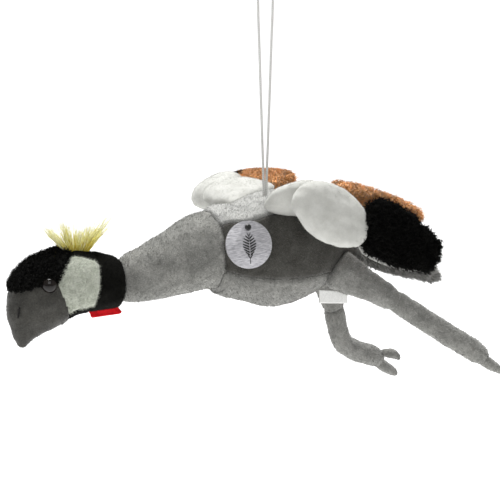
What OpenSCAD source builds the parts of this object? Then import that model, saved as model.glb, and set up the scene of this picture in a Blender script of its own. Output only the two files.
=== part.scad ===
// Stuffed crane in flight, hung by the back from a doubled cord.
// +X runs from the head to the feet, +Z is up, and the bird's left side faces -Y.
// The origin is the inside top of the cord loop, where a hook carries it.

/* [Body] */
// Width of the body where it is fullest
body_w = 82; // [78:1:84]
// Depth of the body, back to belly, where it is fullest
body_h = 94; // [90:1:96]
// Thickness of the plush fabric
fabric = 1.6; // [1.2:0.1:1.8]
// Space left between a cover and its stuffing
ease = 0.4; // [0.3:0.1:0.6]

/* [Neck and head] */
// Diameter of the neck where it meets the body
neck_base_d = 62; // [58:1:63]
// Diameter of the neck just behind the head
neck_top_d = 40.6; // [38:0.2:41]
// Width of the head at the cheeks
head_w = 51; // [46:1:54]
// Diameter of the domed eyes
eye_d = 12; // [9:0.5:13]
// Height of the yellow crest
crest_h = 27; // [18:1:32]

/* [Wings] */
// Plumpness of the white wing covers
wing_t = 20; // [16:1:21]
// Thickness of the fur panels
fur_t = 9; // [7:0.5:10]

/* [Legs] */
// Diameter of the thigh at the hip
hip_d = 25; // [22:1:26]
// Diameter of the lower leg
shin_d = 18.6; // [16:0.2:19]

/* [Badge and cord] */
// Diameter of the round badge
badge_d = 37.5; // [30:0.5:40]
// Diameter of the hole near the badge's edge
badge_hole_d = 3.4; // [3:0.1:4]
// Diameter of the hanging cord
cord_d = 2; // [1.6:0.1:2]

/* [Hidden] */
$fn = 48;
left = -1;
right = 1;
fill_inset = fabric + ease;

// Height of the back, where the cord leaves it, below the origin
back_z = -162;

// ---- Joint centres, measured from the cord's exit ----
neck_seam = [-47, 0, -44];
head_seam = [-125, 0, -61];
tail_seam = [91, 0, -65];
shoulder_y = 26;
shoulder_z = -9;
left_wrist = [7, -57, 5];
right_wrist = [-17, 60, -12];
left_hip = [64, -29, -72];
right_hip = [66, 28, -74];
left_knee = [100, -34, -94.5];
right_knee = [77, 28, -115.5];

// A station is [x, y, z, half width, half height]
torso_stations = [
    [-47, 0, -44, 0.40 * body_w, 0.362 * body_h],
    [-40, 0, -44.3, 0.43 * body_w, 0.38 * body_h],
    [-25, 0, -47.5, 0.465 * body_w, 0.415 * body_h],
    [0, 0, -48.5, 0.5 * body_w, 0.5 * body_h],
    [25, 0, -51, 0.485 * body_w, 0.465 * body_h],
    [48, 0, -55, 0.40 * body_w, 0.345 * body_h],
    [66, 0, -60, 0.27 * body_w, 0.235 * body_h],
    [80, 0, -64, 0.15 * body_w, 0.12 * body_h]
];
rump_depth = 4;
nape_r = 17.2;

neck_stations = [
    [-125, 0, -61, nape_r, nape_r],
    [-119, 0, -61, 0.445 * neck_top_d, 0.445 * neck_top_d],
    [-112, 0, -59.8, neck_top_d / 2, neck_top_d / 2],
    [-98, 0, -56.5, 0.365 * neck_base_d, 0.365 * neck_base_d],
    [-80, 0, -52, 0.415 * neck_base_d, 0.415 * neck_base_d],
    [-63, 0, -46.8, 0.47 * neck_base_d, 0.47 * neck_base_d],
    [-53, 0, -44.4, 0.495 * neck_base_d, 0.495 * neck_base_d],
    [-47, 0, -44, neck_base_d / 2, neck_base_d / 2]
];

// From the tip of the beak, up over the face and back to the nape
head_stations = [
    [-205.5, 0, -102, 0.1 * head_w, 4.5],
    [-203.5, 0, -91, 0.21 * head_w, 11.5],
    [-199.5, 0, -77, 0.33 * head_w, 18.5],
    [-190, 0, -64, 0.43 * head_w, 25],
    [-173, 0, -57.5, 0.49 * head_w, 26],
    [-154, 0, -57.5, 0.5 * head_w, 24.5],
    [-137, 0, -60.4, 0.46 * head_w, 21.5],
    [-125, 0, -61, 0.4 * head_w, 20.2]
];
head_steps = 3;
// Rings that close the tip of the beak, ahead of the first station
tip_rings = 3;
// Rings of the smoothed head at which one fabric gives way to the next
cheek_ring = 11;
band_ring = 16;
nape_ring = 21;
brow_point = [-210, 0, -66];
brow_slope = 4;
// Angles above and below the cheek's middle at which its neighbours start
crown_edge = 60;
chin_edge = 50;
seam_angle = 1;

tail_stations = [
    [91, 0, -65, 11, 6],
    [105, 0, -70, 17, 6.5],
    [128, 0, -78, 19, 6],
    [148, 0, -85, 16, 5.5],
    [156, 0, -88, 11, 5]
];

// Each wing pillow runs along its own axis: [along, across, half width, half thickness]
shoulder_plan = [
    [0, 18, 29, 7.2],
    [9, 19, 27, 8],
    [18, 20, 23, 7.5]
];
coverts_plan = [
    [0, 0, 15, 0.42 * wing_t],
    [12, 0, 21, 0.52 * wing_t],
    [28, 0, 23.5, 0.55 * wing_t],
    [44, 0, 21, 0.5 * wing_t],
    [57, 0, 14, 0.35 * wing_t]
];
primaries_plan = [
    [0, 4, 18, 0.45 * fur_t],
    [10, 4, 23.5, 0.5 * fur_t],
    [30, 3, 24, 0.5 * fur_t],
    [54, 1, 19, 0.5 * fur_t],
    [68, 0, 14, 0.4 * fur_t]
];
secondaries_plan = [
    [0, 0, 9, 0.45 * fur_t],
    [20, 0, 13, 0.5 * fur_t],
    [50, 0, 13, 0.5 * fur_t],
    [74, 0, 9, 0.4 * fur_t]
];
// Frames of the wing pieces: [start, direction along, direction across]
left_shoulder_frame = [[0, left * shoulder_y, shoulder_z], [0, -0.6, 0.8], [1, 0, 0]];
right_shoulder_frame = [[0, right * shoulder_y, shoulder_z], [-0.3, 0.95, -0.05], [0.95, 0.25, 0.12]];
left_coverts_frame = [left_wrist, [0.84, -0.03, -0.54], [0.5, 0.25, 0.83]];
right_coverts_frame = [right_wrist, [0.4, 0.89, -0.2], [0.78, -0.3, 0.42]];
left_primaries_frame = [[60, -58, -25], [0.89, 0.02, -0.45], [0.45, 0.2, 0.87]];
right_primaries_frame = [[13, 104, -19], [0.38, 0.88, -0.25], [0.8, -0.28, 0.42]];
left_secondaries_frame = [[46, -35, 3], [0.91, 0, -0.38], [0.2, -0.8, 0.55]];
right_secondaries_frame = [[38, 38, -9], [0.05, 0.98, -0.23], [1, -0.1, 0.1]];
lining_gap = 0.6;
lining_t = 1.6;

left_thigh_stations = [
    [64, -29, -72, hip_d / 2, hip_d / 2],
    [82, -31.5, -83.25, 0.465 * hip_d, 0.465 * hip_d],
    [96.3, -33.6, -92.2, 0.52 * shin_d, 0.52 * shin_d]
];
right_thigh_stations = [
    [66, 28, -74, hip_d / 2, hip_d / 2],
    [71.5, 28, -95, 0.465 * hip_d, 0.465 * hip_d],
    [75.9, 28, -111.3, 0.52 * shin_d, 0.52 * shin_d]
];
left_shin_stations = [
    [103.8, -34.1, -97.1, 0.49 * shin_d, 0.49 * shin_d],
    [120, -34.5, -108.5, 0.49 * shin_d, 0.49 * shin_d],
    [150, -35.5, -129.5, 0.5 * shin_d, 0.5 * shin_d],
    [174, -36, -146, 0.5 * shin_d, 0.5 * shin_d],
    [184, -36, -153, 0.42 * shin_d, 0.44 * shin_d]
];
right_shin_stations = [
    [78.2, 28.5, -119.8, 0.49 * shin_d, 0.49 * shin_d],
    [81, 30, -132, 0.47 * shin_d, 0.47 * shin_d],
    [88, 34, -148, 0.47 * shin_d, 0.47 * shin_d],
    [105, 42, -161, 0.49 * shin_d, 0.49 * shin_d],
    [124, 49, -170, 0.5 * shin_d, 0.5 * shin_d],
    [132, 51, -175, 0.42 * shin_d, 0.44 * shin_d]
];
left_front_toe = [
    [184, -36, -155.5, 6.2, 5.6],
    [196, -36, -164, 6, 5.2],
    [204, -36, -169.5, 4.4, 4]
];
left_hind_toe = [
    [181, -29, -146.5, 4.2, 4],
    [190, -27.5, -152, 4.2, 3.8],
    [195, -27, -155.5, 3, 3]
];
right_front_toe = [
    [133, 52.5, -178.5, 6.2, 5.6],
    [145, 55, -187.5, 6, 5.2],
    [152, 56, -192.5, 4.4, 4]
];
right_hind_toe = [
    [134, 45, -168, 5, 4.4],
    [142, 43, -169.5, 5.4, 5],
    [147, 42, -173, 4, 4]
];
thigh_caps = [hip_d / 2 - fill_inset, -3.6];
shin_caps = [-3.8, 6];

// Route of the doubled cord, in the frame of the whole toy
cord_half = [
    [-1.1, 0, -170], [-1.2, 0, -158], [-1.8, 0, -140], [-2.5, 0, -122], [-3.1, 0, -104],
    [-3.8, 0, -86], [-4.4, 0, -68], [-5, 0, -50], [-5.7, 0, -32], [-6.2, 0, -16],
    [-6.1, 0, -7], [-4.9, 0, -1.8], [-2.6, 0, 0.5]
];
cord_route = concat(cord_half, [[0, 0, 1]],
    [for (i = [len(cord_half) - 1:-1:0]) [-cord_half[i][0], 0, cord_half[i][2]]]);

badge_axis = [-0.12, -0.95, 0.28];
badge_centre = [-31, -36.8, -33];
badge_hole_up = 0.36 * badge_d;
rivet_head_d = 5.2;

eye_axis = [-0.22, -0.93, 0.3];
eye_centre = [-188.5, -20.5, -51.5];
washer_depth = 6;

// ---- Lofting ----
function unit(v) = v / norm(v);
function spot(s) = [s[0], s[1], s[2]];
function heading(st, i) =
    unit(spot(st[min(i + 1, len(st) - 1)]) - spot(st[max(i - 1, 0)]));
function curve(a, b, c, d, t) =
    0.5 * (2 * b + (c - a) * t + (2 * a - 5 * b + 4 * c - d) * t * t
    + (3 * b - a - 3 * c + d) * t * t * t);
// Adds steps - 1 stations between each pair, on a smooth curve
function smooth(st, steps) = concat(
    [for (i = [0:len(st) - 2], k = [0:steps - 1])
        curve(st[max(i - 1, 0)], st[i], st[i + 1], st[min(i + 2, len(st) - 1)], k / steps)],
    [st[len(st) - 1]]);
function shrink(st, by) = [for (s = st) [s[0], s[1], s[2],
    max(s[3] - by, 0.5), max(s[4] - by, 0.5)]];
// Rings that close an end: a positive depth is a dome, a negative one a cone
function end_rings(s, way, depth) = let (c = spot(s)) [
    for (a = [12, 38, 64])
        let (k = depth > 0 ? sin(a) : a / 90, far = depth > 0 ? depth * cos(a) : -depth * (1 - a / 90))
        concat(c + way * far, [s[3] * k, s[4] * k])];
function flip(list) = [for (i = [len(list) - 1:-1:0]) list[i]];
function capped(st, first, last) = concat(
    first == 0 ? [] : end_rings(st[0], -heading(st, 0), first),
    st,
    last == 0 ? [] : flip(end_rings(st[len(st) - 1], heading(st, len(st) - 1), last)));
function ring(st, i, side, angles) =
    let (t = heading(st, i), top = unit(cross(t, side)), across = cross(top, t), s = st[i])
    [for (a = angles) spot(s) + across * s[3] * cos(a) + top * s[4] * sin(a)];
function spread(from, to, count) = [for (k = [0:count]) from + (to - from) * k / count];
function around(count) = [for (k = [0:count - 1]) 360 * k / count];
function join(lists) = [for (l = lists) each l];
// The faces of a grid of points, rows by columns; the last column meets the first if closed
function grid_faces(rows, columns, closed, start, inward) = join([
    for (i = [0:rows - 2], k = [0:columns - (closed ? 1 : 2)])
        let (a = start + i * columns + k, b = start + i * columns + (k + 1) % columns,
             c = b + columns, d = a + columns)
        inward ? [[a, b, c], [a, c, d]] : [[a, d, c], [a, c, b]]]);

// A solid pillow through the stations
module loft(st, side, count) {
    points = join([for (i = [0:len(st) - 1]) ring(st, i, side, around(count))]);
    last = (len(st) - 1) * count;
    polyhedron(points, concat(
        grid_faces(len(st), count, true, 0, false),
        [[for (k = [0:count - 1]) k]],
        [[for (k = [count - 1:-1:0]) last + k]]), convexity = 6);
}

// A skin between two matching sets of stations, all round or over a range of angles
module skin(outer, inner, side, angles, closed, from = 0, to = -1) {
    rows = (to < 0 ? len(outer) - 1 : to) - from + 1;
    columns = len(angles);
    half = rows * columns;
    points = concat(
        join([for (i = [0:rows - 1]) ring(outer, from + i, side, angles)]),
        join([for (i = [0:rows - 1]) ring(inner, from + i, side, angles)]));
    last = (rows - 1) * columns;
    ends = join([for (k = [0:columns - (closed ? 1 : 2)])
        let (n = (k + 1) % columns)
        [[k, n, half + n], [k, half + n, half + k],
         [last + n, last + k, half + last + k],
         [last + n, half + last + k, half + last + n]]]);
    edge = columns - 1;
    edges = closed ? [] : join([for (i = [0:rows - 2])
        let (a = i * columns, d = a + columns, b = a + edge, c = b + columns)
        [[d, a, half + a], [d, half + a, half + d],
         [b, c, half + c], [b, half + c, half + b]]]);
    polyhedron(points, concat(
        grid_faces(rows, columns, closed, 0, false),
        grid_faces(rows, columns, closed, half, true), ends, edges), convexity = 8);
}

// A fabric sock round the stations, open at both ends
module sock(st, side, count, first = 0, last = 0) {
    skin(capped(st, first, last),
        capped(shrink(st, fabric), max(first - fabric, 0), max(last - fabric, 0)),
        side, around(count), true);
}

module stuffing(st, side, count, first, last) {
    loft(capped(shrink(st, fill_inset), first, last), side, count);
}

// Part of a skin: the rings from one to another, over a range of angles, fabric thick
module panel(st, from, to, from_angle, to_angle, columns, thick = fabric, proud = 0) {
    skin(shrink(st, -proud), shrink(st, thick), [0, 1, 0],
        spread(from_angle, to_angle, columns), false, from, to);
}

// A panel of the head between two rings, with a seam's width left along its sides
module head_panel(from, to, from_angle, to_angle, columns, proud) {
    panel(head, from, to, from_angle + seam_angle, to_angle - seam_angle, columns, fabric, proud);
}

// Stations of a wing piece in its own frame, each [x, y, z, half width, half height]
function framed(frame, plan) = let (u = unit(frame[1]), v = unit(frame[2])) [
    for (p = plan) concat(frame[0] + u * p[0] + v * p[1], [p[2], p[3]])];

module at_back() {
    translate([0, 0, back_z]) children();
}

// Turns +Z to the direction and moves to the place
module facing(place, way) {
    w = unit(way);
    translate(place)
        rotate([0, acos(w[2]), atan2(w[1], w[0])]) children();
}

// ---- Hanging ----
module hang_cord() {
    color("white")
        loft(smooth([for (p = cord_route) concat(p, [cord_d / 2, cord_d / 2])], 3),
            [0, 1, 0], 8);
}

module cord_knot() {
    color("white") at_back() translate([0, 0, -9]) sphere(r = 3.6);
}

module knot_space() {
    translate([0, 0, -9]) sphere(r = 4.8);
    translate([0, 0, -9]) cylinder(r = 2.7, h = 20);
}

// ---- Body ----
torso = capped(smooth(torso_stations, 2), 0, rump_depth);
torso_rows = len(torso);

module hip_space() {
    for (hip = [left_hip, right_hip])
        translate(hip) sphere(r = hip_d / 2 + 0.6);
}

module wing_root_space() {
    for (side = [left, right])
        translate([-16, side * shoulder_y, shoulder_z])
            rotate([0, 90, 0]) cylinder(r = 8.1, h = 68);
}

module torso_panel(from_angle, to_angle, columns) {
    panel(torso, 0, torso_rows - 1, from_angle, to_angle, columns);
}

module body_fill() {
    color("ivory") at_back() difference() {
        loft(capped(shrink(smooth(torso_stations, 2), fill_inset), 0, rump_depth - fill_inset),
            [0, 1, 0], 24);
        translate(neck_seam) sphere(r = neck_base_d / 2 + 0.6);
        hip_space();
        wing_root_space();
        knot_space();
    }
}

module back_panel() {
    color("gray") at_back() difference() {
        torso_panel(51, 129, 8);
        wing_root_space();
        knot_space();
    }
}

module side_panel(from_angle) {
    color("dimgray") at_back() difference() {
        torso_panel(from_angle, from_angle + 70, 7);
        wing_root_space();
        hip_space();
    }
}

module left_side_panel() {
    side_panel(130);
}

module right_side_panel() {
    side_panel(-20);
}

module belly_panel() {
    color("gray") at_back() difference() {
        torso_panel(201, 339, 13);
        hip_space();
    }
}

// A folded satin loop caught in the seam under the hip
module care_label() {
    color("white") at_back() translate([50, -25, -88])
        rotate([0, 8, 0]) difference() {
            cube([26, 2, 12], center = true);
            translate([0, 0, 1.5]) cube([27, 0.9, 11], center = true);
            translate([13, 0, 14]) sphere(r = 14);
        }
}

// ---- Badge: a domed tin front crimped over a flat back, hung from one rivet ----
module at_badge() {
    at_back() facing(badge_centre, badge_axis) children();
}

badge_h = 3.6;

module badge_outline(d, h) {
    intersection() {
        cylinder(d = d, h = h);
        translate([0, 0, h - 3 * d]) sphere(r = 3 * d, $fn = 96);
    }
}

module badge_hole() {
    translate([-badge_hole_up, 0, -5]) cylinder(d = badge_hole_d, h = 15);
}

module badge_shell() {
    color("silver") at_badge() difference() {
        badge_outline(badge_d, badge_h);
        translate([0, 0, -1]) badge_outline(badge_d - 1.2, badge_h);
        badge_hole();
    }
}

module badge_back() {
    color("gray") at_badge() difference() {
        translate([0, 0, 0.3]) cylinder(d = badge_d - 1.6, h = 0.6);
        badge_hole();
    }
}

// The rivet holds the badge by its hole and is set into the side of the body
module badge_rivet() {
    color("black") at_badge() translate([-badge_hole_up, 0, 0]) {
        translate([0, 0, -9]) cylinder(d = badge_hole_d - 0.8, h = 13);
        translate([0, 0, badge_h + 0.2]) cylinder(d1 = rivet_head_d, d2 = 3.4, h = 1.2);
    }
}

// ---- Tail ----
tail_smooth = smooth(tail_stations, 2);

module tail_cover() {
    color("lightgray") at_back() sock(tail_smooth, [0, 1, 0], 16, 6, 5);
}

module tail_fill() {
    color("ivory") at_back() stuffing(tail_smooth, [0, 1, 0], 12, 4, 3);
}

// ---- Neck ----
neck_smooth = smooth(neck_stations, 2);

module neck_cover() {
    color("gray") at_back() sock(neck_smooth, [0, 1, 0], 20);
}

module neck_fill() {
    color("ivory") at_back()
        stuffing(neck_smooth, [0, 1, 0], 16, nape_r - fill_inset, neck_base_d / 2 - fill_inset);
}

// ---- Head ----
head = smooth(head_stations, head_steps);

module head_fill() {
    color("ivory") at_back() difference() {
        loft(shrink(head, fill_inset), [0, 1, 0], 18);
        translate(head_seam) sphere(r = nape_r + 1.5);
    }
}

// Everything above the line along which the cap meets the face
module above_brow(gap) {
    translate(brow_point) rotate([0, brow_slope, 0])
        translate([-60, -60, gap]) cube([160, 120, 90]);
}

module beak_cover() {
    color("gray") at_back() difference() {
        skin(capped(head, 4, 0), capped(shrink(head, fabric), 2.4, 0),
            [0, 1, 0], around(20), true, 0, tip_rings + cheek_ring);
        above_brow(-0.2);
    }
}

// Long black pile, so the panel stands proud of the rest
module forehead_cap() {
    color("black") at_back() intersection() {
        skin(shrink(head, -2.5), shrink(head, fabric), [0, 1, 0], around(20), true,
            3, cheek_ring);
        above_brow(0.2);
    }
}

module cheek(from_angle) {
    color("white") at_back()
        head_panel(cheek_ring, band_ring, from_angle, from_angle + crown_edge + chin_edge, 9, 1);
}

module left_cheek() {
    cheek(180 - crown_edge);
}

module right_cheek() {
    cheek(-chin_edge);
}

module crown_strip() {
    color("black") at_back()
        head_panel(cheek_ring, band_ring, crown_edge, 180 - crown_edge, 5, 0);
}

module chin_strap() {
    color("black") at_back()
        head_panel(cheek_ring, band_ring, 180 + chin_edge, 360 - chin_edge, 7, 0);
}

module crown_band() {
    color("black") at_back()
        skin(head, shrink(head, fabric), [0, 1, 0], around(22), true, band_ring, nape_ring);
}

module eye_at(side) {
    facing([eye_centre[0], side * -eye_centre[1], eye_centre[2]],
        [eye_axis[0], side * -eye_axis[1], eye_axis[2]]) children();
}

module eye(side) {
    color("black") at_back() eye_at(side) {
        intersection() {
            translate([0, 0, -1.5]) sphere(d = eye_d);
            cylinder(d = eye_d, h = eye_d);
        }
        translate([0, 0, -washer_depth - 3]) cylinder(d = 3, h = washer_depth + 4);
    }
}

module eye_washer(side) {
    color("white") at_back() eye_at(side)
        translate([0, 0, -washer_depth]) difference() {
            cylinder(d = 13, h = 1.5);
            translate([0, 0, -1]) cylinder(d = 3.2, h = 4);
        }
}

module left_eye() {
    eye(left);
}

module right_eye() {
    eye(right);
}

module left_eye_washer() {
    eye_washer(left);
}

module right_eye_washer() {
    eye_washer(right);
}

module nostril_stitches() {
    color("black") at_back() for (side = [left, right])
        translate([-212.5, side * 6.5, -76])
            rotate([0, 12, 0]) cylinder(d = 1.6, h = 9);
}

// Fan of soft fibre, wider at the top than where it is sewn in
module crest_tuft() {
    color("yellow") at_back() loft([
        [-160, 0, -34, 5, 8],
        [-160, 0, -34 + 0.35 * crest_h, 5, 10],
        [-160, 0, -34 + 0.75 * crest_h, 4.5, 12],
        [-160, 0, -34 + crest_h, 2.5, 7]], [0, 1, 0], 16);
}

// Red felt, sewn edge-on under the throat
module wattle() {
    color("red") at_back() rotate([90, 0, 0])
        linear_extrude(height = 2, center = true) hull() {
            translate([-149, -82]) circle(r = 2.5);
            translate([-147, -86]) circle(r = 2.5);
            translate([-128.5, -82]) circle(r = 2);
            translate([-125.5, -86]) circle(r = 2);
        }
}

// ---- Wings ----
module shoulder_cover(frame) {
    color("white") at_back()
        sock(smooth(framed(frame, shoulder_plan), 2), unit(frame[2]), 16, 7, 6);
}

module shoulder_fill(frame) {
    color("ivory") at_back()
        stuffing(smooth(framed(frame, shoulder_plan), 2), unit(frame[2]), 12, 5, 4);
}

module secondaries(frame) {
    color("peru") at_back()
        loft(capped(smooth(framed(frame, secondaries_plan), 2), 5, 6), unit(frame[2]), 14);
}

module coverts_cover(frame) {
    color("whitesmoke") at_back()
        sock(smooth(framed(frame, coverts_plan), 2), unit(frame[2]), 16, 9, 8);
}

module coverts_fill(frame) {
    color("ivory") at_back()
        stuffing(smooth(framed(frame, coverts_plan), 2), unit(frame[2]), 12, 7, 6);
}

module primaries(frame) {
    color("black") at_back()
        loft(capped(smooth(framed(frame, primaries_plan), 2), 5, 6), unit(frame[2]), 16);
}

// Thin cloth on the underside of the black panel
module lining(frame, under) {
    drop = fur_t / 2 + lining_gap + lining_t / 2;
    plan = [for (p = primaries_plan) [p[0], p[1], p[2] - 1.5, lining_t / 2]];
    color("lightgray") at_back() translate(unit(under) * drop)
        loft(capped(smooth(framed(frame, plan), 2), 4, 4), unit(frame[2]), 12);
}

module left_shoulder_cover() {
    shoulder_cover(left_shoulder_frame);
}

module left_shoulder_fill() {
    shoulder_fill(left_shoulder_frame);
}

module left_secondaries() {
    secondaries(left_secondaries_frame);
}

module left_coverts_cover() {
    coverts_cover(left_coverts_frame);
}

module left_coverts_fill() {
    coverts_fill(left_coverts_frame);
}

module left_primaries() {
    primaries(left_primaries_frame);
}

module left_lining() {
    lining(left_primaries_frame, [0, 0.97, -0.2]);
}

module right_shoulder_cover() {
    shoulder_cover(right_shoulder_frame);
}

module right_shoulder_fill() {
    shoulder_fill(right_shoulder_frame);
}

module right_secondaries() {
    secondaries(right_secondaries_frame);
}

module right_coverts_cover() {
    coverts_cover(right_coverts_frame);
}

module right_coverts_fill() {
    coverts_fill(right_coverts_frame);
}

module right_primaries() {
    primaries(right_primaries_frame);
}

module right_lining() {
    lining(right_primaries_frame, [0.1, -0.3, -0.93]);
}

// ---- Legs ----
module leg_cover(st, first, last) {
    color("gray") at_back() sock(smooth(st, 2), [0, 1, 0], 16, first, last);
}

module leg_fill(st, caps) {
    color("ivory") at_back() stuffing(smooth(st, 2), [0, 1, 0], 12, caps[0], caps[1]);
}

module toes(front, hind) {
    color("gray") at_back() for (toe = [front, hind])
        loft(capped(smooth(toe, 2), 3, 4), [0, 1, 0], 10);
}

module left_thigh_cover() {
    leg_cover(left_thigh_stations, 0, 0);
}

module left_thigh_fill() {
    leg_fill(left_thigh_stations, thigh_caps);
}

module left_shin_cover() {
    leg_cover(left_shin_stations, 0, 5);
}

module left_shin_fill() {
    leg_fill(left_shin_stations, [shin_caps[0], 3]);
}

module left_toes() {
    toes(left_front_toe, left_hind_toe);
}

module right_thigh_cover() {
    leg_cover(right_thigh_stations, 0, 0);
}

module right_thigh_fill() {
    leg_fill(right_thigh_stations, thigh_caps);
}

module right_shin_cover() {
    leg_cover(right_shin_stations, 0, 5);
}

module right_shin_fill() {
    leg_fill(right_shin_stations, [shin_caps[0], 3]);
}

module right_toes() {
    toes(right_front_toe, right_hind_toe);
}

hang_cord();
cord_knot();
body_fill();
back_panel();
left_side_panel();
right_side_panel();
belly_panel();
care_label();
badge_rivet();
badge_shell();
badge_back();
tail_cover();
tail_fill();
neck_cover();
neck_fill();
head_fill();
beak_cover();
forehead_cap();
crown_strip();
left_cheek();
right_cheek();
chin_strap();
crown_band();
left_eye();
right_eye();
left_eye_washer();
right_eye_washer();
nostril_stitches();
crest_tuft();
wattle();
left_shoulder_cover();
left_shoulder_fill();
left_secondaries();
left_coverts_cover();
left_coverts_fill();
left_primaries();
left_lining();
right_shoulder_cover();
right_shoulder_fill();
right_secondaries();
right_coverts_cover();
right_coverts_fill();
right_primaries();
right_lining();
left_thigh_cover();
left_thigh_fill();
left_shin_cover();
left_shin_fill();
left_toes();
right_thigh_cover();
right_thigh_fill();
right_shin_cover();
right_shin_fill();
right_toes();
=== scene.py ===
"""Plush crane in flight, hung from a doubled cord. All positions are in metres, in the frame of the part."""

import math

import bmesh
import bpy
import numpy as np
from mathutils import Matrix, Vector
from mathutils.bvhtree import BVHTree


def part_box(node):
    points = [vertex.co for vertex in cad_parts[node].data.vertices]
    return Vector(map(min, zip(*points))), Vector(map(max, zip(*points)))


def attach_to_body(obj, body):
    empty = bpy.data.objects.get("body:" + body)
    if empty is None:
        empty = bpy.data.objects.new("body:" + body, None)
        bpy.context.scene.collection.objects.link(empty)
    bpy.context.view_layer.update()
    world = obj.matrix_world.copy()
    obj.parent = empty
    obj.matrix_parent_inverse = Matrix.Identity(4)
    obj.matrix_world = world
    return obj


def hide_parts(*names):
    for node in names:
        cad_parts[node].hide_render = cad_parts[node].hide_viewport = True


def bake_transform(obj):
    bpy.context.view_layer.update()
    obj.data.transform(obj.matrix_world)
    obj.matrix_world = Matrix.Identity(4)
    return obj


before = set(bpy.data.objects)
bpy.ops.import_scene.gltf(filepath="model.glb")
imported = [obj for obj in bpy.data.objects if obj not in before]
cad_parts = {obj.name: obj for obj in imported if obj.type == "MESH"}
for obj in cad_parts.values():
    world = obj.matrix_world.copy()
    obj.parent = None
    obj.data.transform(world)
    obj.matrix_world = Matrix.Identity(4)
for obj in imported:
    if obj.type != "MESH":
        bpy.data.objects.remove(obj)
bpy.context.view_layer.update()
MM = 0.001
BACK = np.array([0, 0, -162.0])  # where the cord leaves the back, in mm
TURN, THIRD = 6.28, 2.094  # a whole turn and a third of one, in radians


def unit(v):
    v = np.asarray(v, float)
    return v / np.maximum(np.linalg.norm(v, axis=-1, keepdims=True), 1e-12)


def metres(p):
    """A point given in mm from the cord's exit, in the frame of the part."""
    return (np.asarray(p, float) + BACK) * MM


# ---- Camera ----
AZIMUTH, ELEVATION = -24, 15  # in degrees
DISTANCE, HALF_VIEW = 1.5, 0.2  # from the camera to its target, and half the width seen there, in metres


def make_camera():
    a, e = math.radians(AZIMUTH), math.radians(ELEVATION)
    right = Vector((math.cos(a), math.sin(a), 0))
    back = Vector((math.sin(a) * math.cos(e), -math.cos(a) * math.cos(e), math.sin(e)))
    up = back.cross(right)
    target = right * -0.012 + up * -0.048 + Vector(metres([0, 0, 0]))
    cam = bpy.data.objects.new("camera", bpy.data.cameras.new("camera"))
    bpy.context.collection.objects.link(cam)
    turned = Matrix((right, up, back)).transposed().to_4x4()
    cam.matrix_world = Matrix.Translation(target + back * DISTANCE) @ turned
    cam.data.angle = 2 * math.atan(HALF_VIEW / DISTANCE)
    bpy.context.scene.camera = cam


make_camera()


# ---- Materials ----
def nodes_of(name):
    m = bpy.data.materials.new(name)
    m.use_nodes = True
    tree = m.node_tree
    return m, tree, tree.nodes["Principled BSDF"]


def noise_node(tree, scale, detail=3.0, rough=0.6, stretch=None):
    where = tree.nodes.new("ShaderNodeTexCoord").outputs["Object"]
    if stretch is not None:
        mapping = tree.nodes.new("ShaderNodeMapping")
        mapping.inputs["Scale"].default_value = stretch
        tree.links.new(where, mapping.inputs["Vector"])
        where = mapping.outputs["Vector"]
    n = tree.nodes.new("ShaderNodeTexNoise")
    n.inputs["Scale"].default_value = scale
    n.inputs["Detail"].default_value = detail
    n.inputs["Roughness"].default_value = rough
    tree.links.new(where, n.inputs["Vector"])
    return n.outputs["Fac"]


def ramp(tree, fac, low, high, a=0.35, b=0.65):
    r = tree.nodes.new("ShaderNodeValToRGB")
    r.color_ramp.elements[0].position, r.color_ramp.elements[1].position = a, b
    r.color_ramp.elements[0].color = (*low, 1)
    r.color_ramp.elements[1].color = (*high, 1)
    tree.links.new(fac, r.inputs["Fac"])
    return r.outputs["Color"]


def mixed(tree, a, b, fac, kind="MULTIPLY"):
    m = tree.nodes.new("ShaderNodeMix")
    m.data_type, m.blend_type = "RGBA", kind
    m.inputs["Factor"].default_value = fac
    tree.links.new(a, m.inputs[6])
    tree.links.new(b, m.inputs[7])
    return m.outputs[2]


def bumped(tree, p, fac, strength, depth):
    b = tree.nodes.new("ShaderNodeBump")
    b.inputs["Strength"].default_value = strength
    b.inputs["Distance"].default_value = depth
    tree.links.new(fac, b.inputs["Height"])
    tree.links.new(b.outputs["Normal"], p.inputs["Normal"])


def cloth_material(name, low, high, patches=90.0, grain=900.0, sheen=0.35, strength=0.6, depth=0.0006,
                   stretch=None, rough=0.92, mottle=0.35, shine=0.15):
    """Pile or cloth: broad patches of nap, a fine mottle over them, and a bump of the pile's own size."""
    m, tree, p = nodes_of(name)
    broad = ramp(tree, noise_node(tree, patches, 4, 0.65), low, high)
    fleck = noise_node(tree, grain, 3, 0.7, stretch)
    fine = ramp(tree, fleck, [1 - mottle] * 3, [1 + mottle * 0.7] * 3, 0.3, 0.7)
    tree.links.new(mixed(tree, broad, fine, 1.0), p.inputs["Base Color"])
    p.inputs["Roughness"].default_value = rough
    p.inputs["Sheen Weight"].default_value = sheen
    p.inputs["Sheen Roughness"].default_value = 0.45
    p.inputs["Specular IOR Level"].default_value = shine
    bumped(tree, p, noise_node(tree, grain * 0.8, 4, 0.7, stretch), strength, depth)
    return m


def fibre_material(name, colour, rough=0.8, sheen=0.3, shine=0.25):
    """A fibre's own colour, with its gloss broken up along it."""
    m, tree, p = nodes_of(name)
    p.inputs["Base Color"].default_value = (*colour, 1)
    spread = tree.nodes.new("ShaderNodeMapRange")
    spread.inputs["To Min"].default_value = max(rough - 0.15, 0.1)
    spread.inputs["To Max"].default_value = min(rough + 0.15, 1.0)
    tree.links.new(noise_node(tree, 700, 2), spread.inputs["Value"])
    tree.links.new(spread.outputs["Result"], p.inputs["Roughness"])
    p.inputs["Sheen Weight"].default_value = sheen
    p.inputs["Specular IOR Level"].default_value = shine
    return m


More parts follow.
